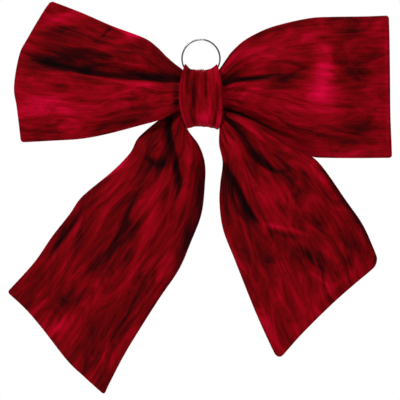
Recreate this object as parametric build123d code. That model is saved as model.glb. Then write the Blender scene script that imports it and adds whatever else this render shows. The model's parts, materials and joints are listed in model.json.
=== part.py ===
from build123d import *
import math
import os

# A ready-made velvet gift bow that hangs from a split ring.
# Millimetres. +Z is up and the bow's front faces -Y.
# The origin is the centre of the flat back of the knot.

# ---- driving dimensions ----
ply = 1.2                 # pile, backing and turned edge of one velvet ply
rim = 2.6                 # width of the sewn rim where two plies meet
lining = 0.5              # thickness of the interlining inside each pair of plies
lining_inset = 0.16       # of the wing's width, from each edge to the interlining
stitch_dia = 0.5
stitch_len = 3.0
stitch_hole = 0.8

knot_half_width = 16.5    # at mid height
knot_end_half_width = 11.5  # at the top and bottom folds
knot_height = 46.0
knot_depth = 26.0
knot_corner = 8.0
knot_wall = 1.5
lap_length = 26.0         # how far the band's inner end runs under its outer end
lap_gap = 0.2
lap_edge_z = -8.0         # where the outer end of the band stops
closing_stitches = 5      # hand stitches over the lapped edge
closing_pitch = 5.0

wire = 1.2                # ring wire
ring_outer = 30.0         # outside diameter of the ring
ring_pitch = 1.3          # from one turn of the ring to the next
ring_centre_z = 30.2
ring_centre_y = 2.0
jog_angle = 30.0          # how much of the circle the step between turns takes

thread_loop_radius = 2.35
thread_dia = 0.6
thread_loop_x = (-3.2, 0.0, 3.2)
tie_turns = 4             # turns of thread round each gathered waist

deep = 200.0              # longer than anything it has to cut

ring_radius = (ring_outer - wire) / 2
hinge_z = ring_centre_z - ring_radius


# ---- wings: two loops and two tails, each a soft pair of plies ----
# A station is (edge one, edge two, middle depth, bulge), with the edges as (x, z).
# The last station lies past the cut end.
left_loop = {
    "stations": [
        ((-18.6, 20.5), (-18.6, -9.0), -15.0, 3.6),
        ((-33.0, 37.0), (-33.0, -17.5), -15.0, 5.5),
        ((-60.0, 51.0), (-60.0, -25.5), -15.0, 8.0),
        ((-90.0, 63.2), (-90.0, -31.5), -15.0, 8.0),
        ((-117.0, 73.0), (-117.0, -33.2), -15.0, 5.0),
        ((-148.0, 85.0), (-148.0, -34.5), -15.0, 1.5),
    ],
    "end": [(-112.0, 72.0), (-129.8, 44.3), (-139.5, 12.0), (-137.5, -14.0), (-134.5, -35.0)],
    "beyond": [(-134.0, -80.0), (-220.0, -80.0), (-220.0, 130.0), (-100.0, 130.0)],
    "lining_end": 18.0,
}
right_loop = {
    "stations": [
        ((18.6, 24.5), (18.6, -10.5), -7.5, 3.6),
        ((33.0, 43.0), (33.0, -17.5), -7.5, 4.5),
        ((52.0, 52.5), (52.0, -29.5), -7.5, 5.0),
        ((75.0, 58.8), (75.0, -41.5), -8.0, 5.5),
        ((100.0, 60.8), (100.0, -45.6), -8.5, 6.0),
        ((150.0, 61.8), (150.0, -45.6), -8.5, 1.5),
    ],
    "end": [(141.3, 64.0), (142.5, 10.0), (143.5, -48.0)],
    "beyond": [(143.5, -80.0), (220.0, -80.0), (220.0, 130.0), (141.0, 130.0)],
    "lining_end": -18.0,
}
left_tail = {
    "stations": [
        ((-29.5, -16.5), (-7.5, -28.5), -7.0, 3.2),
        ((-39.0, -26.0), (-0.8, -38.0), -7.0, 4.0),
        ((-58.0, -45.5), (3.2, -60.0), -7.0, 4.6),
        ((-88.0, -73.5), (0.4, -88.0), -7.0, 5.0),
        ((-113.0, -105.5), (-20.0, -135.0), -7.0, 5.0),
        ((-146.0, -150.0), (-56.0, -191.0), -7.0, 3.6),
        ((-170.0, -176.0), (-85.0, -243.0), -7.0, 1.5),
    ],
    "end": [(-144.5, -147.5), (-120.0, -174.0), (-98.0, -201.5), (-73.5, -224.5)],
    "beyond": [(-40.0, -255.0), (-40.0, -330.0), (-240.0, -330.0), (-240.0, -100.0)],
    "lining_end": 26.0,
}
right_tail = {
    "stations": [
        ((31.5, -16.0), (13.6, -26.0), -18.8, 3.2),
        ((43.0, -21.0), (15.4, -43.0), -18.8, 4.0),
        ((66.0, -35.0), (15.5, -61.0), -18.8, 4.4),
        ((93.0, -55.5), (13.8, -85.0), -18.8, 5.0),
        ((113.5, -84.0), (26.0, -124.0), -18.8, 5.0),
        ((131.5, -117.0), (43.5, -166.0), -18.8, 3.6),
        ((148.0, -146.0), (67.0, -215.0), -18.8, 1.5),
    ],
    "end": [(134.0, -121.0), (128.6, -130.1), (98.0, -155.0), (75.0, -177.8), (57.5, -197.0)],
    "beyond": [(40.0, -222.0), (40.0, -330.0), (240.0, -330.0), (240.0, -40.0)],
    "lining_end": -18.0,
}


def along(a, b, distance):
    """The point at a distance from a towards b."""
    length = math.dist(a, b)
    return (a[0] + (b[0] - a[0]) * distance / length, a[1] + (b[1] - a[1]) * distance / length)


def middle(a, b):
    return ((a[0] + b[0]) / 2, (a[1] + b[1]) / 2)


def place(point, depth):
    return (point[0], depth, point[1])


def arc(a, b, depth, bulge):
    """An arc from a to b that stands out of the middle plane by the bulge."""
    return ThreePointArc(place(a, depth), place(middle(a, b), depth + bulge), place(b, depth))


def lens_section(station):
    """The whole cross-section of a soft bundle."""
    a, b, depth, bulge = station
    return make_face([arc(a, b, depth, -bulge), arc(b, a, depth, bulge)])


def ply_section(station, side):
    """The crescent that one ply makes, on the front (-1) or the back (+1)."""
    a, b, depth, bulge = station
    inner_a = along(a, b, rim)
    inner_b = along(b, a, rim)
    return make_face([
        arc(a, b, depth, side * bulge),
        Line(place(b, depth), place(inner_b, depth)),
        arc(inner_b, inner_a, depth, side * (bulge - ply)),
        Line(place(inner_a, depth), place(a, depth)),
    ])


def lining_section(station):
    """A thin strip on the middle plane, well inside the sewn rim."""
    a, b, depth, bulge = station
    inset = lining_inset * math.dist(a, b)
    start = along(a, b, inset)
    stop = along(b, a, inset)
    return make_face(Polyline(
        place(start, depth - lining / 2),
        place(stop, depth - lining / 2),
        place(stop, depth + lining / 2),
        place(start, depth + lining / 2),
        close=True,
    ))


def end_cutter(wing, shift=0.0):
    """Everything past the wing's cut end, moved along X by the shift."""
    edge = [Vector(x + shift, deep, z) for x, z in wing["end"]]
    far = [Vector(x + shift, deep, z) for x, z in wing["beyond"]]
    outline = make_face([Spline(*edge), Polyline(edge[-1], *far, edge[0])])
    return extrude(outline, amount=2 * deep, dir=(0, -1, 0))


def seam_paths(wing, distance):
    """The two long seam lines, a distance in from the edges."""
    first = [place(along(a, b, distance), y) for a, b, y, bulge in wing["stations"][:-1]]
    second = [place(along(b, a, distance), y) for a, b, y, bulge in wing["stations"][:-1]]
    return [Polyline(*first), Polyline(*second)]


def stitch_row(path, dia, length, count):
    """Short straight stitches, evenly spaced along a path."""
    row = []
    for index in range(count):
        place_on_path = 0.02 + 0.93 * (index + 0.5) / count
        plane = Plane(origin=path @ place_on_path, z_dir=path % place_on_path)
        row.append(plane * Cylinder(dia / 2, length))
    return row


def biggest(shape):
    return max(shape.solids(), key=lambda solid: solid.volume)


def make_wing(name, wing, stitches):
    """Front ply, back ply, interlining and seam thread of one loop or tail."""
    cutter = end_cutter(wing)
    thread = []
    holes = []
    for path in seam_paths(wing, rim / 2):
        thread += stitch_row(path, stitch_dia, stitch_len, stitches)
        holes += stitch_row(path, stitch_hole, stitch_len + 0.4, stitches)
    nodes = {}
    for side, label in ((-1, "front"), (1, "back")):
        panel = loft([ply_section(station, side) for station in wing["stations"]])
        nodes[f"{name}_{label}_ply"] = biggest(panel - ([cutter] + holes))
    strip = loft([lining_section(station) for station in wing["stations"]], ruled=True)
    nodes[f"{name}_interlining"] = biggest(strip - end_cutter(wing, wing["lining_end"]))
    kept = [stitch - cutter for stitch in thread]
    whole = [stitch for stitch in kept if stitch.volume > 0.9 * thread[0].volume]
    nodes[f"{name}_seam_thread"] = Compound(children=[stitch.solid() for stitch in whole])
    return nodes


# ---- knot ----
def slab(x_size, y_range, z_range, x_centre=0.0):
    """A box given by its width in X and its ranges in Y and Z."""
    size = (x_size, y_range[1] - y_range[0], z_range[1] - z_range[0])
    centre = (x_centre, sum(y_range) / 2, sum(z_range) / 2)
    return Pos(*centre) * Box(*size)


def knot_front_outline():
    """The knot seen from the front: a barrel, narrower at its folds."""
    top = knot_height / 2
    left = ThreePointArc(
        (-knot_end_half_width, top), (-knot_half_width, 0), (-knot_end_half_width, -top)
    )
    right = ThreePointArc(
        (knot_end_half_width, -top), (knot_half_width, 0), (knot_end_half_width, top)
    )
    bottom_line = Line(left @ 1, right @ 0)
    top_line = Line(right @ 1, left @ 0)
    return make_face([left, bottom_line, right, top_line])


def knot_prism():
    return extrude(Plane.XZ * knot_front_outline(), amount=deep, both=True)


def knot_loop(inset):
    """The solid that the band would wrap, smaller by the inset all round."""
    outline = RectangleRounded(
        knot_depth - 2 * inset, knot_height - 2 * inset, knot_corner - inset
    )
    return Pos(0, -knot_depth / 2, 0) * extrude(Plane.YZ * outline, amount=deep, both=True)


def make_knot_band():
    """One strip wrapped round the waist, its ends lapped at the back."""
    ring = knot_loop(0) - knot_loop(knot_wall)
    ring -= slab(deep, (-knot_wall, 1), (lap_edge_z - 0.6, lap_edge_z))
    tongue_front = -2 * knot_wall - lap_gap
    tongue = slab(deep, (tongue_front, -knot_wall - lap_gap), (lap_edge_z - 8, lap_edge_z + lap_length - 8))
    root = slab(deep, (tongue_front, -knot_wall + 0.1), (lap_edge_z - 8, lap_edge_z - 0.6))
    band = (ring + tongue + root) & knot_prism()
    for x in thread_loop_x:
        band -= slab(thread_dia + 0.8, (-knot_wall + 0.3, 1), (hinge_z - 3, hinge_z + 3), x)
    for groove in closing_row(0.9, 0.75, 5.4, 0.0):
        band -= groove
    return biggest(band)


def closing_row(width, depth, length, y):
    """Slanted boxes over the lapped edge, whose outer faces lie at a depth y."""
    row = []
    for index in range(closing_stitches):
        x = (index - (closing_stitches - 1) / 2) * closing_pitch
        box = Box(width, depth, length)
        row.append(Pos(x, y - depth / 2, lap_edge_z - 0.3) * Rot(0, 12, 0) * box)
    return row


def make_closing_stitches():
    """Hand stitches over the lapped edge, pulled down into the pile of the band."""
    stitches = closing_row(0.6, 0.5, 5.0, -0.1)
    return Compound(children=[stitch.solid() for stitch in stitches])


def make_loop_waist():
    """The gathered middle of the loop strip, held in the upper part of the knot."""
    stations = [
        ((-16.2, 18.0), (-16.2, -8.0), -15.0, 3.6),
        ((-9.0, 19.5), (-9.0, -8.2), -13.8, 8.0),
        ((0.0, 19.5), (0.0, -8.2), -13.6, 8.0),
        ((9.0, 19.5), (9.0, -8.2), -13.0, 8.0),
        ((16.2, 18.0), (16.2, -8.0), -7.5, 3.6),
    ]
    return biggest(loft([lens_section(station) for station in stations]))


def make_tail_waist(band):
    """The gathered middle of the tail strip, from one tail's neck to the other's."""
    stations = [
        ((-28.6, -14.6), (-7.9, -26.2), -7.0, 3.0),
        ((-17.0, -10.6), (-13.6, -19.8), -8.0, 3.6),
        ((-9.0, -11.0), (-9.0, -19.6), -11.5, 4.8),
        ((0.0, -11.0), (0.0, -19.6), -12.75, 4.8),
        ((9.0, -11.0), (9.0, -19.6), -14.0, 4.8),
        ((17.0, -10.6), (13.9, -19.8), -17.5, 3.6),
        ((30.8, -14.2), (13.2, -24.0), -18.8, 3.0),
    ]
    return biggest(loft([lens_section(station) for station in stations]) - band)


def gather_thread(depth, half_depth, top, bottom):
    """Turns of thread that hold a waist gathered, each a closed loop round it."""
    turns = []
    for index in range(tie_turns):
        x = (index - (tie_turns - 1) / 2) * 2 * thread_dia
        grown = ((x, top + thread_dia), (x, bottom - thread_dia), depth, half_depth + thread_dia)
        outer = lens_section(grown)
        inner = lens_section(((x, top), (x, bottom), depth, half_depth))
        turns.append(extrude(outer - inner, amount=thread_dia / 2, dir=(1, 0, 0), both=True))
    return Compound(children=[turn.solid() for turn in turns])


# ---- ring ----
def ring_turn(y, start):
    """Most of one turn of the ring's wire, from a start angle."""
    turn = Torus(ring_radius, wire / 2, major_angle=360 - jog_angle)
    return Pos(0, y, ring_centre_z) * Rot(90, 0, 0) * Rot(0, 0, start) * turn


def ring_point(angle, y):
    turn = math.radians(angle)
    return (ring_radius * math.cos(turn), y, ring_centre_z + ring_radius * math.sin(turn))


def make_ring():
    """A split ring: two close turns of wire with a step from one to the other at the top."""
    back = ring_centre_y + ring_pitch / 2
    front = ring_centre_y - ring_pitch / 2
    half = math.radians(jog_angle / 2)
    step_path = Spline(
        ring_point(90 + jog_angle / 2, back),
        ring_point(90, ring_centre_y),
        ring_point(90 - jog_angle / 2, front),
        tangents=[(math.cos(half), 0, math.sin(half)), (math.cos(half), 0, -math.sin(half))],
    )
    step = sweep(Plane(origin=step_path @ 0, z_dir=step_path % 0) * Circle(wire / 2), path=step_path)
    start = 90 + jog_angle / 2
    return biggest(ring_turn(back, start) + step + ring_turn(front, start))


def make_thread_loops():
    """Three loops of thread through the back of the band and round the ring's wire."""
    loops = []
    for x in thread_loop_x:
        loop = Torus(thread_loop_radius, thread_dia / 2, rotation=(0, 90, 0))
        loops.append(Pos(x, ring_centre_y, hinge_z) * loop)
    return Compound(children=[loop.solid() for loop in loops])


band = make_knot_band()
nodes = {
    "knot_band": band,
    "knot_closing_stitches": make_closing_stitches(),
    "loop_waist": make_loop_waist(),
    "tail_waist": make_tail_waist(band),
    "loop_gather_thread": gather_thread(-13.6, 9.6, 20.4, -8.7),
    "tail_gather_thread": gather_thread(-12.75, 6.2, -10.3, -20.3),
    "ring_thread_loops": make_thread_loops(),
    "hanging_ring": make_ring(),
}
nodes.update(make_wing("left_loop", left_loop, 16))
nodes.update(make_wing("right_loop", right_loop, 16))
nodes.update(make_wing("left_tail", left_tail, 20))
nodes.update(make_wing("right_tail", right_tail, 20))

os.makedirs("parts", exist_ok=True)
for name, shape in nodes.items():
    export_step(shape, f"parts/{name}.step")
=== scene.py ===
import bpy
import json
import math
import numpy as np
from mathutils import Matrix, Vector, noise


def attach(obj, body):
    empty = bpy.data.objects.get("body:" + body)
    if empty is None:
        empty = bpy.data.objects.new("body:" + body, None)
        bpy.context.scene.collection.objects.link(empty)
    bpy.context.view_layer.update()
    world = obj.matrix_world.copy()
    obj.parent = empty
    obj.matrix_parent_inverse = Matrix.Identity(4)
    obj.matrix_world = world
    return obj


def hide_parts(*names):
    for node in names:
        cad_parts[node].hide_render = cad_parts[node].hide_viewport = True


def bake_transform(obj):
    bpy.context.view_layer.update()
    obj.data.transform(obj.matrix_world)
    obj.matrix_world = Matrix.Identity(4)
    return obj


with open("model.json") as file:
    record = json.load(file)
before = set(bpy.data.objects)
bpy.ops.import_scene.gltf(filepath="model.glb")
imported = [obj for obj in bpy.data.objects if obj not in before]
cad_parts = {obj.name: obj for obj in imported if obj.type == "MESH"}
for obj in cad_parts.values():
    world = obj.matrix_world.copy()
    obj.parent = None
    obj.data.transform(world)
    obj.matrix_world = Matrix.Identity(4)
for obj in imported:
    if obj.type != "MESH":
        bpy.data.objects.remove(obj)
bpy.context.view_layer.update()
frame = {"nodes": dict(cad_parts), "record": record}

# A flat velvet bow: two loops and two tails of two plies each, a knot band and a split ring.
# Shapes are in millimetres in the frame's axes, and become metres when a mesh is made.
MM = 0.001
RIM = 0.9                # radius of the turned edge of a loop or tail
BAND_THICKNESS = 0.8     # of the knot band's velvet
PLY_THICKNESS = 0.4      # of each ply's velvet
LINING_THICKNESS = 0.4
SEAM_STITCHES = 26       # along each long seam
SEAM_INSET = 1.1         # from the turned edge to the seam
SEAM_RADIUS = 0.2

# The velvet's pattern is laid out in UVs, in metres of cloth.
CLOTH_ALONG = {"loop": 0.16, "tail": 0.21}
CLOTH_ACROSS = 0.115
RIGHT_SHIFT = 0.3        # so that the right wings don't repeat the left ones
BACK_SHIFT = 0.5         # so that a back ply doesn't repeat its front ply

OUTLINE_STEPS = 400      # points along each edge of a wing
FOLD_STEPS = 90          # points along the line of a fold
SPLINE_STEPS = 24        # points between two of the points given to curve()
STEPS = np.linspace(0, 1, OUTLINE_STEPS)        # each edge point's share of the edge's length


# ---------------------------------------------------------------- curves
def curve(points, count):
    """This many evenly spaced points on a smooth line through the given ones."""
    p = np.array(points, float)
    p = np.vstack([2 * p[0] - p[1], p, 2 * p[-1] - p[-2]])
    t = np.linspace(0, 1, SPLINE_STEPS, endpoint=False)[:, None]
    dense = []
    for a, b, c, d in zip(p[:-3], p[1:-2], p[2:-1], p[3:]):
        dense.append(0.5 * (2 * b + (c - a) * t + (2 * a - 5 * b + 4 * c - d) * t ** 2
                            + (3 * b - a - 3 * c + d) * t ** 3))
    dense = np.vstack(dense + [p[-2][None]])
    run = np.concatenate([[0], np.cumsum(np.linalg.norm(np.diff(dense, axis=0), axis=1))])
    where = np.linspace(0, run[-1], count)
    return np.stack([np.interp(where, run, dense[:, i]) for i in range(p.shape[1])], axis=-1)


def smooth(x):
    """Rises from 0 to 1 as x does, with no corner at either end."""
    x = np.clip(x, 0, 1)
    return x * x * (3 - 2 * x)


def along_line(points, x, z):
    """Signed distance from a smooth line, and how far along it, for arrays of places."""
    line = curve(points, FOLD_STEPS)
    tangent = np.gradient(line, axis=0)
    tangent /= np.linalg.norm(tangent, axis=1)[:, None]
    dx = x[..., None] - line[:, 0]
    dz = z[..., None] - line[:, 1]
    nearest = np.argmin(dx ** 2 + dz ** 2, axis=-1)
    dx = np.take_along_axis(dx, nearest[..., None], -1)[..., 0]
    dz = np.take_along_axis(dz, nearest[..., None], -1)[..., 0]
    tx, tz = tangent[nearest, 0], tangent[nearest, 1]
    side = np.sign(tx * dz - tz * dx)
    return side * np.hypot(dx, dz), nearest / (FOLD_STEPS - 1)


def waves(u, v, across, length, seed):
    """Smooth noise, fine across the cloth and long along it, from -1 to 1."""
    out = np.empty(u.shape)
    for i, (a, b) in enumerate(zip(u.flat, v.flat)):
        out.flat[i] = noise.noise(Vector((a / length, b / across, seed)))
    return out


# ---------------------------------------------------------------- the four wings
# Each wing's edges run from the knot outwards, edge_a above edge_b, and its end joins the two.
# depth is the middle's place in Y, and puff is half the pillow's thickness, each at a share of the length.
# pleats are (how many, height, how far they reach, phase). shade darkens the whole front and back, and
# corner is the radius of the two corners at the end.
# A fold is (line, depth, width on its left, width on its right, start fade, end fade, darkness of its
# painted shade).
# Left and right are seen looking along the line from the front. A negative depth is a ridge, and a negative
# darkness there is a painted highlight.
# A patch is (x, z, half length, half width, tilt in degrees, brightness). Some patches are lighter and
# darker pile, others painted shade and painted highlights.
WINGS = {
    "left_loop": {
        "edge_a": [(-9, 16), (-14.3, 21), (-19.5, 24.8), (-26.3, 30.8), (-33, 37.5), (-42.8, 44.3),
                   (-66.8, 53.3), (-89.6, 63.2), (-112.5, 72)],
        "edge_b": [(-9, -7.5), (-17.3, -10.5), (-24, -14), (-33, -18), (-45.8, -21.5), (-69.8, -27.8),
                   (-89.6, -31.5), (-112.5, -33), (-135, -34.2)],
        "end": [(-112.5, 72), (-118.5, 63.5), (-129.8, 44.3), (-136.2, 31.5), (-140.2, 8), (-138.3, -6.8),
                (-136.4, -22), (-135, -34.2)],
        "depth": [(0, -13.5), (0.12, -14.5), (0.5, -15), (1, -15)],
        "puff": [(0, 8.0), (0.07, 7.0), (0.16, 5.2), (0.35, 7.0), (0.6, 7.5), (1, 4.0)],
        "pleats": (5.3, 1.3, 26.0, 0.6),
        "shade": 0.10,
        "corner": 2.4,
        "folds": [
            ([(-10, 10.5), (-18, 11.2), (-40.5, 13), (-64.5, 14.3), (-84.8, 17.5), (-102.9, 21.5),
              (-117.3, 25), (-133, 31)], 7.5, 1.5, 15.0, 0.02, 0.30, 1.25),
            ([(-66, 53), (-71, 48), (-75, 43)], 0.9, 1.5, 1.5, 0.3, 0.3, 0.4),
            ([(-30, 33), (-48, 36), (-66, 39.5), (-84, 47)], 1.6, 3.0, 7.0, 0.3, 0.5, 0.15),
            ([(-17, 4), (-36, 3), (-58, 2)], 1.0, 2.0, 3.5, 0.1, 0.8, 0.2),
            ([(-17, -2), (-34, -5), (-52, -8.5)], 1.0, 2.2, 2.2, 0.1, 0.8, 0.25),
            ([(-30, 22), (-52, 24), (-75, 27), (-92, 31)], -1.4, 6.0, 6.0, 0.3, 0.5, -0.2),
        ],
        "patches": [
            (-75, 5, 50, 6, 0, 0.32), (-118, -10, 26, 10, 4, 0.34), (-55, 44, 34, 4.0, 24, 0.50),
            (-98, 62, 20, 3.5, 22, 0.38), (-18.5, 0, 2.2, 9, 0, -0.65), (-108, 15, 26, 4.5, 9, 0.30),
            (-85, 30, 34, 9, 8, -0.42), (-110, 38, 20, 12, 10, -0.28),
            (-100, 29, 34, 6, 12, -0.14), (-118, -25, 18, 5, 0, -0.30), (-55, -19, 26, 3.5, 10, -0.28),
            (-52, 28, 15, 4, 8, 0.16), (-90, -10, 24, 5, 2, 0.15), (-100, 8, 26, 3, 0, -0.22),
        ],
    },
    "right_loop": {
        "edge_a": [(9, 16), (14, 21.5), (18.5, 28), (23.3, 34.5), (32.7, 43.1), (47.1, 50.8), (61.5, 55.5),
                   (82.5, 59.9), (99.8, 60.8), (123.6, 61.1), (141.6, 61.8)],
        "edge_b": [(9, -8.5), (17.3, -12.5), (29, -18.5), (47, -28.5), (66, -38.5), (83.3, -44.6),
                   (94.9, -45.6), (120, -45.8), (144, -45.6)],
        "end": [(141.6, 61.8), (142.1, 44.3), (142.5, 15.4), (142.8, -13.4), (143.6, -34), (144, -45.6)],
        "depth": [(0, -12.5), (0.08, -10.5), (0.25, -7.8), (1, -8.5)],
        "puff": [(0, 8.0), (0.07, 6.5), (0.2, 4.2), (0.45, 5.2), (0.7, 6.4), (1, 3.6)],
        "pleats": (6.2, 1.3, 30.0, 2.1),
        "shade": 0.06,
        "corner": 2.4,
        "folds": [
            ([(10, 10), (17.3, 9.6), (27.8, 12.8), (42, 14), (55, 16.5), (66, 22)],
             5.2, 9.0, 2.6, 0.02, 0.7, 1.0),
            ([(17, 13), (28, 20), (40, 25), (56, 29)], 2.4, 4.0, 4.0, 0.05, 0.8, 0.35),
            ([(17, 4), (32, 5), (47, 1.5), (63, -1.5), (80, -1)], 1.8, 3.5, 2.2, 0.1, 0.6, 0.35),
            ([(15, -8.5), (27.8, -12.0), (47.3, -20.8), (66, -29.4), (84, -33)],
             3.6, 3.0, 3.0, 0.02, 0.5, 0.75),
            ([(17, -2), (36, -6), (56, -12), (78, -14)], 1.3, 2.2, 3.5, 0.1, 0.7, 0.2),
            ([(56, 10), (76, 21), (92, 29)], 1.7, 4.0, 3.0, 0.4, 0.5, 0.3),
            ([(139.5, 56), (140, 20), (140.5, -20), (141.2, -40)], -0.7, 1.6, 1.6, 0.1, 0.1, -0.22),
        ],
        "patches": [
            (93, 25, 9, 15, 2, 0.62), (92, 5, 10, 12, 0, 0.34), (88, -8, 12, 10, 0, 0.30),
            (112, 20, 12, 30, 0, -0.34), (112, 50, 10, 8, 0, -0.3), (75, 28, 16, 6, 6, -0.22),
            (66, 15, 17, 6, 12, -0.42), (45, 33, 20, 7, 28, 0.22), (72, 44, 20, 6, 10, 0.18),
            (40, 4, 20, 4, -10, 0.28), (118, -25, 14, 8, 0, -0.40), (125, 40, 16, 8, 2, 0.14),
            (85, -38, 30, 4, -4, 0.10), (130, -40, 14, 5, 0, 0.14), (66, 52, 26, 4, 12, -0.18),
            (90, -28, 22, 4, -6, -0.28), (60, -8, 18, 4, -10, 0.16),
        ],
    },
    "left_tail": {
        "edge_a": [(-8, -5), (-14, -7), (-22, -10), (-33, -17.8), (-41.5, -24.8), (-48.3, -31.6),
                   (-53.6, -41.8), (-66.8, -55.5), (-89.6, -74.6), (-99, -87.8), (-112.5, -105),
                   (-126, -124.5), (-146.2, -146.8)],
        "edge_b": [(-7, -16), (-11.5, -20.5), (-9.8, -25), (-1.5, -36), (3, -49.5), (3, -65.3), (0.4, -87.8),
                   (-7.5, -108.8), (-16.8, -130.1), (-32.3, -153), (-55.1, -189.4), (-68.3, -214.2),
                   (-73, -224.4)],
        "end": [(-146.2, -146.8), (-132.6, -159.4), (-120, -174), (-101.3, -198), (-89, -210),
                (-73, -224.4)],
        "depth": [(0, -8.5), (0.15, -7), (1, -7)],
        "puff": [(0, 2.6), (0.1, 3.0), (0.25, 5.4), (0.5, 6.0), (0.75, 4.6), (1, 2.6)],
        "pleats": (4.2, 1.0, 34.0, 4.4),
        "shade": 0.27,
        "corner": 2.4,
        "folds": [
            ([(-17, -8), (-22, -12), (-23.6, -20), (-23.0, -31), (-19.5, -45), (-16.7, -62), (-18, -78)],
             4.6, 1.8, 7.0, 0.02, 0.45, 1.15),
            ([(-43, -44), (-34, -50), (-24, -50)], 1.8, 4.0, 4.0, 0.3, 0.3, 0.5),
            ([(-27, -17), (-30, -28), (-31, -40)], -2.0, 4.5, 4.5, 0.1, 0.2, -0.16),
            ([(-13, -26), (-9, -45), (-9, -68), (-15, -95)], -2.2, 8.0, 8.0, 0.2, 0.5, -0.22),
            ([(-42, -58), (-54, -84), (-66, -112), (-76, -140)], 1.5, 3.0, 6.0, 0.3, 0.5, 0.3),
            ([(-86, -79), (-98, -97), (-116, -122)], 1.3, 3.0, 3.0, 0.3, 0.4, 0.4),
            ([(-30, -72), (-42, -104), (-60, -140)], -1.8, 7.0, 7.0, 0.3, 0.6, -0.05),
            ([(-24, -84), (-38, -118), (-60, -160), (-78, -200)], 1.1, 4.0, 6.0, 0.3, 0.5, 0.15),
        ],
        "patches": [
            (-39, -98, 24, 6.5, 70, 0.52), (-63, -62, 20, 6, 58, 0.34), (-60, -51, 10, 5, 40, 0.15),
            (-31, -50, 10, 6, 20, -0.45), (-60, -102, 14, 4, 62, -0.34), (-50, -104, 12, 3, 68, -0.30),
            (-90, -96, 14, 5, 58, 0.22), (-101, -101, 22, 3, 55, -0.32), (-106, -172, 16, 6, 40, 0.34),
            (-80, -120, 18, 7, 62, -0.22), (-62, -168, 26, 8, 60, -0.26), (-85, -150, 22, 5, 62, 0.16),
            (-12, -60, 24, 4, 95, 0.10), (1, -62, 28, 3.0, 88, -0.50), (-10, -112, 26, 3.5, 66, -0.40),
            (-14, -112, 26, 3, 66, -0.22),
            (-76, -205, 16, 4, 58, 0.16), (-128, -143, 12, 5, 52, -0.22), (-70, -78, 16, 4, 60, 0.16),
            (-25, -125, 22, 4, 62, 0.10), (-46, -190, 22, 3, 58, -0.22), (-112, -132, 16, 4, 52, 0.12),
        ],
    },
    "right_tail": {
        "edge_a": [(8, -7), (13, -9), (17.6, -10.5), (28, -13.8), (40.5, -19.1), (52, -26), (65.3, -34.5),
                   (82.5, -44.5), (92.3, -54.5), (107.6, -76.5), (120.8, -95.6), (129.5, -114.8),
                   (133, -124.5)],
        "edge_b": [(8, -17), (12.8, -20.5), (13.6, -24.5), (13.5, -36), (16.1, -49.5), (14.3, -65.3),
                   (13.8, -80.3), (16.5, -99.5), (25.3, -122.3), (40.5, -160.5), (52, -186), (57.8, -197.3)],
        "end": [(133, -124.5), (125.5, -131.2), (115.2, -139.8), (98, -155), (75, -177.8), (57.8, -197.3)],
        "depth": [(0, -17.5), (0.15, -18.8), (1, -18.8)],
        "puff": [(0, 3.0), (0.1, 3.6), (0.25, 4.6), (0.5, 5.6), (0.75, 4.6), (1, 2.6)],
        "pleats": (4.6, 1.0, 36.0, 1.2),
        "shade": 0.25,
        "corner": 6.0,
        "folds": [
            ([(15, -13), (24.7, -22.3), (33.3, -33.8), (40.5, -45.3), (49, -52.4), (60.6, -56.7),
              (70, -52)],
             4.4, 5.0, 2.0, 0.02, 0.35, 1.05),
            ([(15.5, -48), (21, -57), (26.2, -65.3), (33.3, -79.7), (40.5, -91.2), (49, -97)],
             3.0, 1.6, 7.0, 0.08, 0.35, 0.85),
            ([(24, -30), (30, -48), (38, -62)], -1.8, 5.0, 5.0, 0.2, 0.5, -0.18),
            ([(24, -14.5), (40, -23), (60, -36), (80, -52)], -1.6, 4.0, 4.0, 0.1, 0.4, -0.15),
            ([(45, -38), (60, -48), (78, -68)], 1.0, 3.0, 4.0, 0.3, 0.5, 0.2),
            ([(43, -93), (54, -96.5), (68, -99.5), (88, -105)], -1.6, 1.5, 4.5, 0.2, 0.4, -0.45),
            ([(47, -98), (62, -103), (78, -108)], 1.2, 4.0, 4.0, 0.3, 0.4, 0.35),
            ([(76, -112), (84, -124), (98, -133)], 1.4, 3.0, 3.0, 0.3, 0.3, 0.25),
            ([(78, -128), (90, -137), (99, -144)], -0.9, 1.6, 1.6, 0.3, 0.3, -0.3),
            ([(30, -100), (44, -134), (58, -166)], 1.1, 4.0, 6.0, 0.3, 0.5, 0.15),
        ],
        "patches": [
            (42, -27, 20, 4, -30, 0.20), (19, -66, 18, 4.5, 88, -0.50), (22, -40, 14, 4, -72, 0.22),
            (60, -76, 20, 8, -35, 0.20), (88, -58, 20, 2.5, -52, 0.28), (113, -84, 36, 3.5, -58, -0.60),
            (84, -56, 16, 4, -48, 0.30),
            (82, -118, 13, 5, -30, -0.50), (117, -114, 10, 5, -35, -0.36), (34, -88, 12, 4, -55, -0.30),
            (90, -84, 16, 5, -40, 0.10), (48, -120, 20, 6, -62, -0.18), (40, -132, 28, 5, -66, 0.12),
            (100, -141, 18, 3.5, 36, 0.34), (72, -150, 22, 6, -50, 0.16), (58, -140, 24, 5, -58, 0.10),
            (52, -175, 20, 5, -62, 0.14), (62, -60, 12, 3, -10, -0.25), (44, -48, 10, 3, -40, -0.35),
            (92, -116, 8, 3, -40, 0.28), (75, -96, 12, 3, -10, 0.2), (60, -112, 16, 5, -40, -0.18),
        ],
    },
}


def on_line(line, share):
    """Places at these shares of a line's length, for a line of OUTLINE_STEPS points."""
    return np.stack([np.interp(share, STEPS, line[:, i]) for i in (0, 1)], -1)


# A ripple is (height, width across the cloth, length along it, seed).
RIPPLES = [(0.55, 9.0, 46.0, 0), (0.30, 4.2, 26.0, 9), (0.9, 22.0, 60.0, 5)]
BACK_FOLD = 0.4          # how deep the back's one fold is, as a share of the same fold in front


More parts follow.
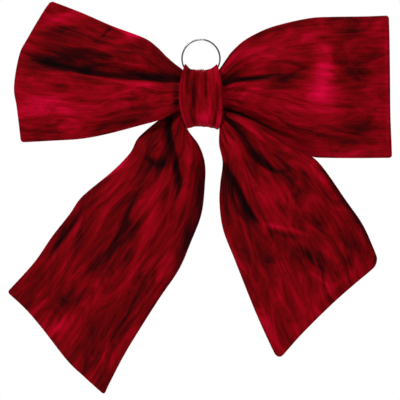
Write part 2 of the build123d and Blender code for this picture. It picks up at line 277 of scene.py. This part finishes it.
def wing_surface(wing, u, v, side):
    """Places, in metres, and nap values on one ply. side is -1 in front, +1 behind, 0 between.

    u runs from 0 at the knot to 1 at the end, and v from 0 on edge_a to 1 on edge_b. A nap value
    is how light, or below zero how dark, the pile lies, with painted shade in folds and pleat hollows and
    painted highlights on ridges and crests.
    """
    a_line = curve(wing["edge_a"], OUTLINE_STEPS)
    b_line = curve(wing["edge_b"], OUTLINE_STEPS)
    length = 0.5 * sum(np.linalg.norm(np.diff(line, axis=0), axis=1).sum() for line in (a_line, b_line))
    span = np.interp(u, STEPS, np.linalg.norm(a_line - b_line, axis=1))
    edge = np.minimum(np.minimum(v * span, (1 - v) * span), (1 - u) * length)

    # round the two corners at the end
    corner = wing["corner"]
    from_end = (1 - u) * length
    for near_a in (True, False):
        from_edge = (v if near_a else 1 - v) * span
        x = np.clip(corner - from_edge, 0, None)
        y = np.clip(corner - from_end, 0, None)
        shrink = np.where((x > 0) & (y > 0), np.maximum(x, y) / np.maximum(np.hypot(x, y), 1e-9), 1)
        from_edge = np.where(x > 0, corner - x * shrink, from_edge)
        from_end = np.where((x > 0) & (y > 0), corner - y * shrink, from_end)
        v = from_edge / span if near_a else 1 - from_edge / span
    u = 1 - from_end / length

    a = on_line(a_line, u)
    b = on_line(b_line, u)
    end_line = curve(wing["end"], OUTLINE_STEPS)
    end = on_line(end_line, v)
    chord = (1 - v)[..., None] * end_line[0] + v[..., None] * end_line[-1]
    p = (1 - v)[..., None] * a + v[..., None] * b + (u ** 5)[..., None] * (end - chord)
    x, z = p[..., 0], p[..., 1]

    middle = np.interp(u, *zip(*wing["depth"]))
    if side == 0:
        return np.stack([x, middle, z], -1) * MM, np.zeros_like(x)

    # a soft pillow with a turned edge
    turned = np.sqrt(np.clip(RIM ** 2 - np.clip(RIM - edge, 0, None) ** 2, 0, None))
    crown = 1 - np.abs(2 * v - 1) ** 2.4
    puff = np.interp(u, *zip(*wing["puff"])) * crown * (1 - np.exp(-(1 - u) * length / 16.0))
    height = puff.copy()
    free = smooth(edge / 7.0)
    nap_and_painted_light = np.full_like(x, -wing["shade"])

    # pleats that fan out from the knot and die away
    count, deep, reach, phase = wing["pleats"]
    wander = waves(u * length, v * span, 24.0, 60.0, phase)
    fan = np.cos(2 * math.pi * count * (v + 0.03 * wander) + phase + (0 if side < 0 else 1.7))
    fade = np.exp(-u * length / reach)
    height += deep * fan * fade * free
    # painted light on the pleats' crests and painted shade in their hollows
    nap_and_painted_light += 0.20 * fan * fade

    # long soft ripples of cloth that has been folded and packed
    seed = phase + side
    for amount, across, along, shift in RIPPLES:
        height += free * amount * waves(u * length, v * span, across, along, seed + shift)

    # folds, narrow and dark at the bottom with a softer shade beside them; the darkening is painted shade,
    # and on a ridge it turns to a painted highlight
    folds = wing["folds"] if side < 0 else wing["folds"][:1]
    for line, depth, left, right, start, stop, dark in folds:
        if side > 0:
            depth *= BACK_FOLD
        away, run = along_line(line, x, z)
        width = np.where(away > 0, left, right)
        near = np.exp(-(np.abs(away) / width) ** 1.35)
        fade = smooth(run / max(start, 1e-3)) * smooth((1 - run) / stop)
        height -= depth * near * fade * smooth(edge / 4.0)
        nap_and_painted_light -= dark * np.exp(-(np.abs(away) / (0.17 * width + 0.8)) ** 1.6) * fade
        nap_and_painted_light -= 0.30 * dark * np.exp(-(np.abs(away) / (0.85 * width)) ** 2) * fade

    # patches where the pile leans to or from the light, patches of painted shade beside the knot and along
    # edges that turn away, and painted highlights along some edges
    if side < 0:
        for px, pz, half_long, half_wide, tilt, bright in wing["patches"]:
            c, s = math.cos(math.radians(tilt)), math.sin(math.radians(tilt))
            along = ((x - px) * c + (z - pz) * s) / half_long
            across = (-(x - px) * s + (z - pz) * c) / half_wide
            nap_and_painted_light += bright * np.exp(-(along ** 2 + across ** 2))
    else:
        nap_and_painted_light += 0.35 * waves(u * length, v * span, 26.0, 60.0, seed + 3)
    height = np.maximum(height, 0.25 * puff)
    y = middle + side * (turned + height)
    return np.stack([x, y, z], -1) * MM, np.clip(nap_and_painted_light, -1, 1)


def grid_faces(rows, columns, first=0):
    """Quads between neighbouring places of a grid, whose first place has this number."""
    index = np.arange(rows * columns).reshape(rows, columns) + first
    return np.stack([index[:-1, :-1], index[1:, :-1], index[1:, 1:], index[:-1, 1:]], -1).reshape(-1, 4)


def grid_mesh(name, places, uv, nap_and_painted_light=None):
    """A sheet of quads through a grid of places, with UVs in metres along and across the cloth."""
    faces = grid_faces(*places.shape[:2])
    mesh = bpy.data.meshes.new(name)
    mesh.from_pydata(places.reshape(-1, 3).tolist(), [], faces.tolist())
    layer = mesh.uv_layers.new(name="cloth")
    flat = uv.reshape(-1, 2)[np.array([v for f in mesh.polygons for v in f.vertices])]
    layer.data.foreach_set("uv", flat.astype(np.float32).ravel())
    # the nap attribute holds pile tone together with painted shade and painted highlights
    if nap_and_painted_light is not None:
        attribute = mesh.attributes.new("nap_and_painted_light", "FLOAT", "POINT")
        attribute.data.foreach_set("value", nap_and_painted_light.astype(np.float32).ravel())
    mesh.polygons.foreach_set("use_smooth", [True] * len(mesh.polygons))
    piece = bpy.data.objects.new(name, mesh)
    bpy.context.scene.collection.objects.link(piece)
    return piece


def face_out(piece, outward):
    """Turns the faces so that their normals point along a direction on the whole."""
    mesh = piece.data
    total = sum((p.normal * p.area for p in mesh.polygons), Vector())
    if total.dot(Vector(outward)) < 0:
        mesh.flip_normals()


def face_out_of(piece, middle):
    """Turns the faces so that they look away from a point."""
    mesh = piece.data
    if sum(p.normal.dot(p.center - middle) * p.area for p in mesh.polygons) < 0:
        mesh.flip_normals()


def thicken(piece, thickness):
    """Gives a sheet its thickness, on its inner side."""
    solid = piece.modifiers.new("thickness", "SOLIDIFY")
    solid.thickness = thickness
    solid.offset = -1
    solid.use_even_offset = False
    apply_modifiers(piece)


def apply_modifiers(piece):
    """Replaces a piece's mesh with the one that its modifiers make."""
    bpy.context.view_layer.update()
    graph = bpy.context.evaluated_depsgraph_get()
    mesh = bpy.data.meshes.new_from_object(piece.evaluated_get(graph))
    piece.modifiers.clear()
    piece.data = mesh


# ---------------------------------------------------------------- materials
def node(tree, kind, **inputs):
    """A new shader node with these values on its inputs."""
    made = tree.nodes.new(kind)
    for name, value in inputs.items():
        made.inputs[name].default_value = value
    return made


# From painted shade in the hollow of a fold to the brightest pile.
VELVET_COLOURS = [(0.0, (0.003, 0.0, 0.0003)), (0.22, (0.024, 0.0, 0.0004)),
                  (0.42, (0.095, 0.0, 0.0010)), (0.60, (0.190, 0.0, 0.0040)),
                  (0.8, (0.34, 0.0, 0.0170)), (1.0, (0.56, 0.0005, 0.040))]
VELVET_OFFSET = 0.345    # taken from the summed patterns, so that they fill the ramp


def velvet(name):
    """Crushed velvet: streaky pile along the cloth, blotches where it leans, and painted shade in the folds.
    """
    material = bpy.data.materials.new(name)
    material.use_nodes = True
    tree = material.node_tree
    tree.nodes.clear()
    link = tree.links.new
    out = tree.nodes.new("ShaderNodeOutputMaterial")
    cloth = node(tree, "ShaderNodeBsdfPrincipled", Roughness=0.8)
    cloth.inputs["Specular IOR Level"].default_value = 0.03
    cloth.inputs["Sheen Weight"].default_value = 0.10
    cloth.inputs["Sheen Roughness"].default_value = 0.35
    cloth.inputs["Sheen Tint"].default_value = (1.0, 0.0, 0.06, 1)
    link(cloth.outputs[0], out.inputs[0])
    where = tree.nodes.new("ShaderNodeTexCoord")

    def streaks(along, across, detail, distortion):
        """Noise with this many features to a metre along and across the cloth."""
        mapping = tree.nodes.new("ShaderNodeMapping")
        mapping.inputs["Scale"].default_value = (along, across, along)
        link(where.outputs["UV"], mapping.inputs["Vector"])
        pattern = node(tree, "ShaderNodeTexNoise", Scale=1.0, Detail=detail, Roughness=0.6,
                       Distortion=distortion)
        link(mapping.outputs[0], pattern.inputs["Vector"])
        return pattern.outputs["Fac"]

    def weighted_sum(a, b, weight_a, weight_b):
        first = tree.nodes.new("ShaderNodeMath")
        first.operation = "MULTIPLY"
        first.inputs[1].default_value = weight_a
        link(a, first.inputs[0])
        second = tree.nodes.new("ShaderNodeMath")
        second.operation = "MULTIPLY_ADD"
        second.inputs[1].default_value = weight_b
        link(b, second.inputs[0])
        link(first.outputs[0], second.inputs[2])
        return second.outputs[0]

    fine = streaks(along=38, across=760, detail=4, distortion=0.2)
    broad = streaks(along=20, across=190, detail=4, distortion=0.9)
    blotch = streaks(along=23, across=58, detail=5, distortion=1.4)
    nap_and_painted_light = tree.nodes.new("ShaderNodeAttribute")
    nap_and_painted_light.attribute_name = "nap_and_painted_light"
    value = weighted_sum(fine, broad, 0.27, 0.50)
    value = weighted_sum(value, blotch, 1.0, 1.00)
    # the nap attribute adds its pile tone, painted shade and painted highlights
    value = weighted_sum(value, nap_and_painted_light.outputs["Fac"], 1.0, 0.48)
    shift = tree.nodes.new("ShaderNodeMath")
    shift.operation = "SUBTRACT"
    shift.inputs[1].default_value = VELVET_OFFSET
    link(value, shift.inputs[0])

    ramp = tree.nodes.new("ShaderNodeValToRGB")
    stops = ramp.color_ramp.elements
    while len(stops) < len(VELVET_COLOURS):
        stops.new(0.5)
    for element, (position, colour) in zip(stops, VELVET_COLOURS):
        element.position = position
        element.color = (*colour, 1)
    link(shift.outputs[0], ramp.inputs[0])
    link(ramp.outputs[0], cloth.inputs["Base Color"])

    bump = tree.nodes.new("ShaderNodeBump")
    bump.inputs["Strength"].default_value = 0.35
    bump.inputs["Distance"].default_value = 0.0006
    link(weighted_sum(fine, broad, 0.5, 0.8), bump.inputs["Height"])
    link(bump.outputs[0], cloth.inputs["Normal"])
    return material


WEAVE_DARK = 0.55        # of the colour, between the fibres
WEAVE_LIGHT = 1.35       # of the colour, on top of them


def plain_weave(name, colour, scale):
    """Thread or interlining: a fine fibrous matt surface."""
    material = bpy.data.materials.new(name)
    material.use_nodes = True
    tree = material.node_tree
    cloth = tree.nodes["Principled BSDF"]
    cloth.inputs["Roughness"].default_value = 0.75
    cloth.inputs["Specular IOR Level"].default_value = 0.25
    where = tree.nodes.new("ShaderNodeTexCoord")
    fibre = node(tree, "ShaderNodeTexNoise", Scale=scale, Detail=4)
    tree.links.new(where.outputs["Object"], fibre.inputs["Vector"])
    ramp = tree.nodes.new("ShaderNodeValToRGB")
    ramp.color_ramp.elements[0].color = (*[c * WEAVE_DARK for c in colour], 1)
    ramp.color_ramp.elements[1].color = (*[min(1, c * WEAVE_LIGHT) for c in colour], 1)
    tree.links.new(fibre.outputs["Fac"], ramp.inputs[0])
    tree.links.new(ramp.outputs[0], cloth.inputs["Base Color"])
    bump = tree.nodes.new("ShaderNodeBump")
    bump.inputs["Strength"].default_value = 0.5
    bump.inputs["Distance"].default_value = 0.0001
    tree.links.new(fibre.outputs["Fac"], bump.inputs["Height"])
    tree.links.new(bump.outputs[0], cloth.inputs["Normal"])
    return material


def nickel(name):
    """Plated steel wire, drawn along its length, slightly uneven in polish."""
    material = bpy.data.materials.new(name)
    material.use_nodes = True
    tree = material.node_tree
    metal = tree.nodes["Principled BSDF"]
    metal.inputs["Metallic"].default_value = 1.0
    where = tree.nodes.new("ShaderNodeTexCoord")
    wear = node(tree, "ShaderNodeTexNoise", Scale=260.0, Detail=3)
    tree.links.new(where.outputs["Object"], wear.inputs["Vector"])
    colour = tree.nodes.new("ShaderNodeValToRGB")
    colour.color_ramp.elements[0].color = (0.09, 0.088, 0.08, 1)
    colour.color_ramp.elements[1].color = (0.26, 0.25, 0.23, 1)
    rough = tree.nodes.new("ShaderNodeMapRange")
    rough.inputs["To Min"].default_value = 0.28
    rough.inputs["To Max"].default_value = 0.48
    tree.links.new(wear.outputs["Fac"], colour.inputs[0])
    tree.links.new(wear.outputs["Fac"], rough.inputs["Value"])
    tree.links.new(colour.outputs[0], metal.inputs["Base Color"])
    tree.links.new(rough.outputs[0], metal.inputs["Roughness"])
    return material


VELVET = velvet("velvet")
THREAD = plain_weave("thread", (0.14, 0.003, 0.01), 2500)
LINING = plain_weave("interlining", (0.62, 0.60, 0.56), 1400)
NICKEL = nickel("ring_metal")
SLOT_MATERIALS = {"velvet": VELVET, "thread": THREAD, "interlining": LINING, "ring_metal": NICKEL}


def dress(piece, material):
    """Gives a piece its material."""
    piece.data.materials.clear()
    piece.data.materials.append(material)


# ---------------------------------------------------------------- wings
def spread(count, edges):
    """Steps from 0 to 1, closer together at both edges or at the end."""
    t = np.linspace(0, 1, count)
    if edges == "both":
        trim = 0.12
        return 0.5 - 0.5 * np.cos(math.pi * (trim + (1 - 2 * trim) * t)) / math.cos(math.pi * trim)
    return 1 - (1 - t) ** 1.35


def make_interlining(name, wing):
    """A thin stiffening sheet between the plies, clear of their seams."""
    u, v = np.meshgrid(np.linspace(0.17, 0.86, 40), np.linspace(0.17, 0.83, 24), indexing="ij")
    places = wing_surface(wing, u, v, 0)[0]
    piece = grid_mesh(f"{name}_interlining_sheet", places, np.stack([u, v], -1) * 0.1)
    thicken(piece, LINING_THICKNESS * MM)
    dress(piece, LINING)
    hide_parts(f"{name}_interlining")
    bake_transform(piece)


def rod(a, b, radius, sides=6):
    """A grid of places round a short straight rod, drawn in to a point at each end."""
    a, b = np.array(a), np.array(b)
    forward = (b - a) / np.linalg.norm(b - a)
    out = np.array([0.0, 1.0, 0.0])
    aside = np.cross(forward, out)
    aside /= np.linalg.norm(aside)
    angle = np.linspace(0, 2 * math.pi, sides + 1)[:, None]
    ring = np.cos(angle) * out + np.sin(angle) * aside
    return np.stack([a + 0 * ring, a + radius * ring, b + radius * ring, b + 0 * ring])


def make_seam_thread(name, wing):
    """A row of stitches along each long seam, sunk in the pile beside the turned edge."""
    u = np.linspace(0.16, 0.97, 3 * SEAM_STITCHES + 1)
    lines = [on_line(curve(wing[edge], OUTLINE_STEPS), u) for edge in ("edge_a", "edge_b")]
    gap = np.linalg.norm(lines[0] - lines[1], axis=1)
    places, faces = [], []
    for near_a in (True, False):
        v = SEAM_INSET / gap if near_a else 1 - SEAM_INSET / gap
        seam = wing_surface(wing, u, v, 0)[0]
        for index in range(SEAM_STITCHES):
            stitch = rod(seam[3 * index], seam[3 * index + 2], SEAM_RADIUS * MM)
            faces.append(grid_faces(*stitch.shape[:2], first=sum(len(p) for p in places)))
            places.append(stitch.reshape(-1, 3))
    mesh = bpy.data.meshes.new(f"{name}_seam_stitches")
    mesh.from_pydata(np.vstack(places).tolist(), [], np.vstack(faces).tolist())
    piece = bpy.data.objects.new(mesh.name, mesh)
    bpy.context.scene.collection.objects.link(piece)
    dress(piece, THREAD)
    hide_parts(f"{name}_seam_thread")
    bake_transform(piece)


def make_wing(name, wing):
    """The two plies, the interlining and the seam thread of one loop or tail."""
    make_interlining(name, wing)
    make_seam_thread(name, wing)
    hand, kind = name.split("_")
    u, v = np.meshgrid(spread(150, "end"), spread(110, "both"), indexing="ij")
    uv = np.stack([u * CLOTH_ALONG[kind], v * CLOTH_ACROSS + RIGHT_SHIFT * (hand == "right")], -1)
    for side, label in ((-1, "front"), (1, "back")):
        places, nap_and_painted_light = wing_surface(wing, u, v, side)
        piece = grid_mesh(f"{name}_{label}_velvet", places, uv + BACK_SHIFT * (side > 0), nap_and_painted_light)
        face_out(piece, (0, side, 0))
        thicken(piece, PLY_THICKNESS * MM)
        dress(piece, VELVET)
        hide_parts(f"{name}_{label}_ply")
        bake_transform(piece)


# In metres: where each wing stops following the knot, and where it starts to follow its own body. Only the
# names are used below, to make each wing.
NECKS = {
    "left_loop": ((-0.013, -0.015, 0), (-0.034, -0.015, 0)),
    "right_loop": ((0.013, -0.010, 0), (0.034, -0.010, 0)),
    "left_tail": ((-0.0137, -0.007, -0.0137), (-0.0258, -0.007, -0.0359)),
    "right_tail": ((0.0177, -0.0188, -0.0123), (0.0299, -0.0188, -0.0341)),
}
for wing_name, (neck_start, neck_end) in NECKS.items():
    make_wing(wing_name, WINGS[wing_name])


# ---------------------------------------------------------------- knot
# The band's path round the knot, seen from the side, as (y, z), from its hidden end to its lapped one.
BAND_PATH = [(-3.0, 15), (-3.0, 4), (-2.9, -6), (-2.2, -12), (-2.2, -17), (-4.4, -20.6), (-9, -22.4),
             (-17, -22.4), (-22.4, -20.4), (-25.0, -15), (-25.5, 0), (-25.0, 15), (-22.4, 20.0), (-17, 21.4),
             (-9, 21.4), (-4.0, 20.0), (-1.2, 15.5), (-0.8, 8), (-0.7, 0), (-0.6, -8.6)]
# A groove is (x at the top, x at the bottom, depth, width, lowest and highest z, darkness of its painted
# shade).
GROOVES = [(-10.6, -9.0, 1.0, 2.6, -2, 24, 0.26), (-3.4, -6.4, 1.8, 1.9, -24, 24, 0.42),
           (3.5, 4.4, 1.2, 1.2, -4, 26, 0.34), (12.2, 12.4, 1.0, 1.6, -24, 12, 0.42),
           (-8.8, -7.4, 0.9, 1.3, -24, -4, 0.22), (-14.2, -13.6, 0.4, 0.8, -18, 20, 0.20)]
KNOT_DEPTH = -13.0       # the knot's middle in Y
BAND_HALF_WIDTH = 16.2   # at the middle of the band's height
BAND_PINCH = 4.9         # how much narrower each half is at the top and bottom
BAND_HALF_HEIGHT = 23.0
BAND_RUN = 160.0         # once round the band
BAND_CLOTH = (0.16, 0.022, 0.7)      # metres of pattern round it, across each half, and its place


def make_knot_band():
    """One strip of velvet wrapped round the middle, pleated in front and lapped at the back."""
    rows, columns = 200, 90
    path = curve(BAND_PATH, rows)
    tangent = np.gradient(path, axis=0)
    tangent /= np.linalg.norm(tangent, axis=1)[:, None]
    out = np.stack([tangent[:, 1], -tangent[:, 0]], -1)
    centre = np.array([KNOT_DEPTH, 0.0])
    out *= np.sign(((path - centre) * out).sum(1))[:, None]
    # t runs from 0 to 1 round the band, and s from -1 to 1 across it
    t, s = np.meshgrid(np.linspace(0, 1, rows), np.linspace(-1, 1, columns), indexing="ij")
    y0 = np.repeat(path[:, :1], columns, 1)
    z0 = np.repeat(path[:, 1:], columns, 1)
    half = BAND_HALF_WIDTH - BAND_PINCH * (np.abs(z0) / BAND_HALF_HEIGHT) ** 2.6
    half = half + 0.6 * smooth((-z0 - 8) / 12)
    half = half - 0.9 * smooth((t - 0.8) / 0.2)
    front = smooth((-y0 - 6) / 8)
    x = s * half + 1.3 * smooth((-z0 - 4) / 18) * front
    lift = np.zeros_like(x)
    nap_and_painted_light = np.zeros_like(x)

    # grooves between the pleats, with painted shade along them
    for top, bottom, depth, width, low, high, dark in GROOVES:
        middle = bottom + (top - bottom) * (z0 + BAND_HALF_HEIGHT) / (2 * BAND_HALF_HEIGHT)
        middle = middle * half / BAND_HALF_WIDTH
        span = smooth((z0 - low) / 6) * smooth((high - z0) / 6)
        near = np.exp(-((x - middle) / width) ** 2)
        lift -= depth * near * (0.35 + 0.65 * front) * np.maximum(span, 0.0)
        nap_and_painted_light -= dark * np.exp(-((x - middle) / (0.8 * width)) ** 2) * span * front

    # corners that flare out at the top, and less at the bottom
    upper = smooth((z0 - 13) / 8) * front
    lower = smooth((-z0 - 13) / 8) * front
    lift += upper * (5.4 * np.abs(s) ** 3.0 - 1.5)
    lift += lower * (2.8 * np.abs(s + 0.12) ** 1.3 - 1.0)

    # small ripples, and side edges that turn in
    ripple = waves(t * BAND_RUN, x, 2.6, 30.0, 3.3)
    lift += 0.45 * ripple
    curl = np.clip((np.abs(s) - 0.93) / 0.07, 0, 1)
    lift -= 1.4 * curl ** 2

    # lighter at the bottom right, darker at the upper left
    nap_and_painted_light += 0.45 * np.exp(-(((x - 3.5) / 5) ** 2 + ((z0 + 15.5) / 5.5) ** 2)) * front
    # painted highlight on the turned-in side edges, and painted light and shade that follow the ripples
    nap_and_painted_light += 0.30 * curl * front + 0.12 * ripple
    nap_and_painted_light -= 0.25 * np.exp(-((x + 8) / 4.5) ** 2) * smooth((z0 + 12) / 20) * front
    y = y0 + out[:, :1] * lift
    z = z0 + out[:, 1:] * lift
    y = np.minimum(y, -0.25)
    round_it, across_half, place = BAND_CLOTH
    uv = np.stack([t * round_it, s * across_half + place], -1)
    piece = grid_mesh("knot_band_velvet", np.stack([x, y, z], -1) * MM, uv, np.clip(nap_and_painted_light, -1, 1))
    face_out_of(piece, Vector((0, KNOT_DEPTH * MM, 0)))
    thicken(piece, BAND_THICKNESS * MM)
    dress(piece, VELVET)
    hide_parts("knot_band")
    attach(piece, "bow")


make_knot_band()


# ---------------------------------------------------------------- gathered waists inside the knot
# A station is (one edge x, z, other edge x, z, middle depth, half depth).
LOOP_WAIST = [(-15.5, 12, -15.5, -4, -14.8, 2.4), (-12, 16.5, -12, -6.5, -14.2, 6.0),
              (-8, 17, -8, -7, -13.4, 8.8), (0, 16.8, 0, -7, -13.2, 9.2),
              (8, 17, 8, -7.5, -13.0, 8.8), (12, 16.5, 12, -7, -12.6, 6.0),
              (15.5, 14, 15.5, -5, -10.6, 2.4)]
TAIL_WAIST = [(-22, -15, -12, -21.5, -7.4, 2.0), (-15, -9.5, -12.5, -19, -10.0, 5.0),
              (-8, -8.5, -8, -19, -12.0, 7.5), (0, -8.5, 0, -19, -12.8, 8.0),
              (8, -8.5, 8, -19, -13.6, 7.5), (15, -9.5, 13.6, -19, -15.6, 5.0),
              (22, -14, 15, -21, -18.4, 2.0)]
PLEAT_HEIGHT = 0.10      # as a share of the bundle's own size
# painted shade over the waists, which lie in the knot's shade
WAIST_PAINTED_SHADE = -0.4         # the waists lie in the knot's shade


def make_waist(name, stations, pleats):
    """The gathered middle of a strip: a soft bundle of pleats from one neck to the other."""
    rows, columns = 60, 12 * pleats + 1
    shape = curve(stations, rows)
    angle = np.linspace(0, 2 * math.pi, columns)
    across = 1 + PLEAT_HEIGHT * np.cos(pleats * angle)
    centre = 0.5 * (shape[:, 0:2] + shape[:, 2:4])
    reach = 0.5 * (shape[:, 0:2] - shape[:, 2:4])
    closing = np.sin(np.linspace(0, math.pi, rows)) ** 0.12
    closing[0] = closing[-1] = 0.0
    outward = (across * np.cos(angle))[None, :, None] * closing[:, None, None]
    flat = centre[:, None] + reach[:, None] * outward
    depth = shape[:, 4:5] + shape[:, 5:6] * (across * np.sin(angle))[None] * closing[:, None]
    places = np.stack([flat[..., 0], depth, flat[..., 1]], -1) * MM
    u, v = np.meshgrid(np.linspace(0, 0.05, rows), np.linspace(0, 0.06, columns), indexing="ij")
    uv = np.stack([u, v + 0.9], -1)
    piece = grid_mesh(f"{name}_velvet", places, uv, np.full(u.shape, WAIST_PAINTED_SHADE))
    face_out_of(piece, Vector((0, KNOT_DEPTH * MM, places[..., 2].mean())))
    dress(piece, VELVET)
    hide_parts(name)
    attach(piece, "bow")


make_waist("loop_waist", LOOP_WAIST, 11)
make_waist("tail_waist", TAIL_WAIST, 9)


# ---------------------------------------------------------------- CAD nodes that show as they are
for part, piece in frame["nodes"].items():
    if piece.hide_render:
        continue
    slot = next(s["material_slot"] for s in frame["record"]["subparts"] if s["node"] == part)
    piece.data.materials.clear()
    piece.data.materials.append(SLOT_MATERIALS[slot])


# ---------------------------------------------------------------- stage, light and camera
FLOOR_RADIUS = 0.6       # metres
FLOOR_HEIGHT = -0.30     # metres
FLOOR_GLOW = 0.75
WORLD_SEEN = 1.0         # strength of the white that the camera sees
WORLD_LIGHT = 0.16       # strength of the light that it gives
AIM = (0, 0, -0.07)      # what the lights point at
# A light is (name, place, diameter, watts), in metres.
LIGHTS = [("key", (-0.60, -0.95, 0.95), 0.35, 24), ("fill", (0.9, -1.0, 0.15), 0.8, 4),
          ("top", (0.0, -0.1, 1.2), 0.8, 5), ("back", (0.5, 1.2, 0.5), 0.7, 11)]
CAMERA_PLACE = (-0.00075, -1.214, -0.0773)
FOCAL_LENGTH = 144.0     # millimetres, on a sensor 36 wide


def stage_material(name, strength):
    """A pale matt grey that also glows a little, so that it stays near white."""
    material = bpy.data.materials.new(name)
    material.use_nodes = True
    surface = material.node_tree.nodes["Principled BSDF"]
    surface.inputs["Base Color"].default_value = (0.8, 0.8, 0.8, 1)
    surface.inputs["Roughness"].default_value = 0.9
    surface.inputs["Emission Color"].default_value = (1, 1, 1, 1)
    surface.inputs["Emission Strength"].default_value = strength
    return material


def make_stage():
    """A pale round floor, under the bow and below the camera's view."""
    rings, sides = 6, 64
    radius, angle = np.meshgrid(np.linspace(0, FLOOR_RADIUS, rings + 1),
                                np.linspace(0, 2 * math.pi, sides + 1), indexing="ij")
    places = np.stack([radius * np.cos(angle), radius * np.sin(angle),
                       np.full_like(radius, FLOOR_HEIGHT)], -1)
    floor = grid_mesh("floor", places, np.zeros((*places.shape[:2], 2)))
    floor.data.materials.append(stage_material("floor", FLOOR_GLOW))


def area_light(name, place, size, power):
    """A soft round light."""
    lamp = bpy.data.lights.new(name, "AREA")
    lamp.shape = "DISK"
    lamp.size = size
    lamp.energy = power
    light = bpy.data.objects.new(name, lamp)
    light.location = place
    light.rotation_euler = (Vector(AIM) - Vector(place)).to_track_quat("-Z", "Y").to_euler()
    bpy.context.scene.collection.objects.link(light)


def make_world():
    """White where the camera sees it, dimmer where it lights the bow."""
    world = bpy.data.worlds.new("studio")
    world.use_nodes = True
    tree = world.node_tree
    sky = tree.nodes["Background"]
    sky.inputs["Color"].default_value = (1, 1, 1, 1)
    path = tree.nodes.new("ShaderNodeLightPath")
    strength = tree.nodes.new("ShaderNodeMapRange")
    strength.inputs["To Min"].default_value = WORLD_LIGHT
    strength.inputs["To Max"].default_value = WORLD_SEEN
    tree.links.new(path.outputs["Is Camera Ray"], strength.inputs["Value"])
    tree.links.new(strength.outputs[0], sky.inputs["Strength"])
    bpy.context.scene.world = world


def make_camera():
    """Level with the bow's middle and straight in front of it."""
    lens = bpy.data.cameras.new("camera")
    lens.sensor_width = 36.0
    lens.lens = FOCAL_LENGTH
    camera = bpy.data.objects.new("camera", lens)
    camera.location = CAMERA_PLACE
    camera.rotation_euler = (math.radians(90), 0, 0)
    bpy.context.scene.collection.objects.link(camera)
    bpy.context.scene.camera = camera


make_stage()
for light_name, light_place, diameter, watts in LIGHTS:
    area_light(light_name, light_place, diameter, watts)
make_world()
make_camera()
bpy.context.scene.view_settings.view_transform = "Standard"
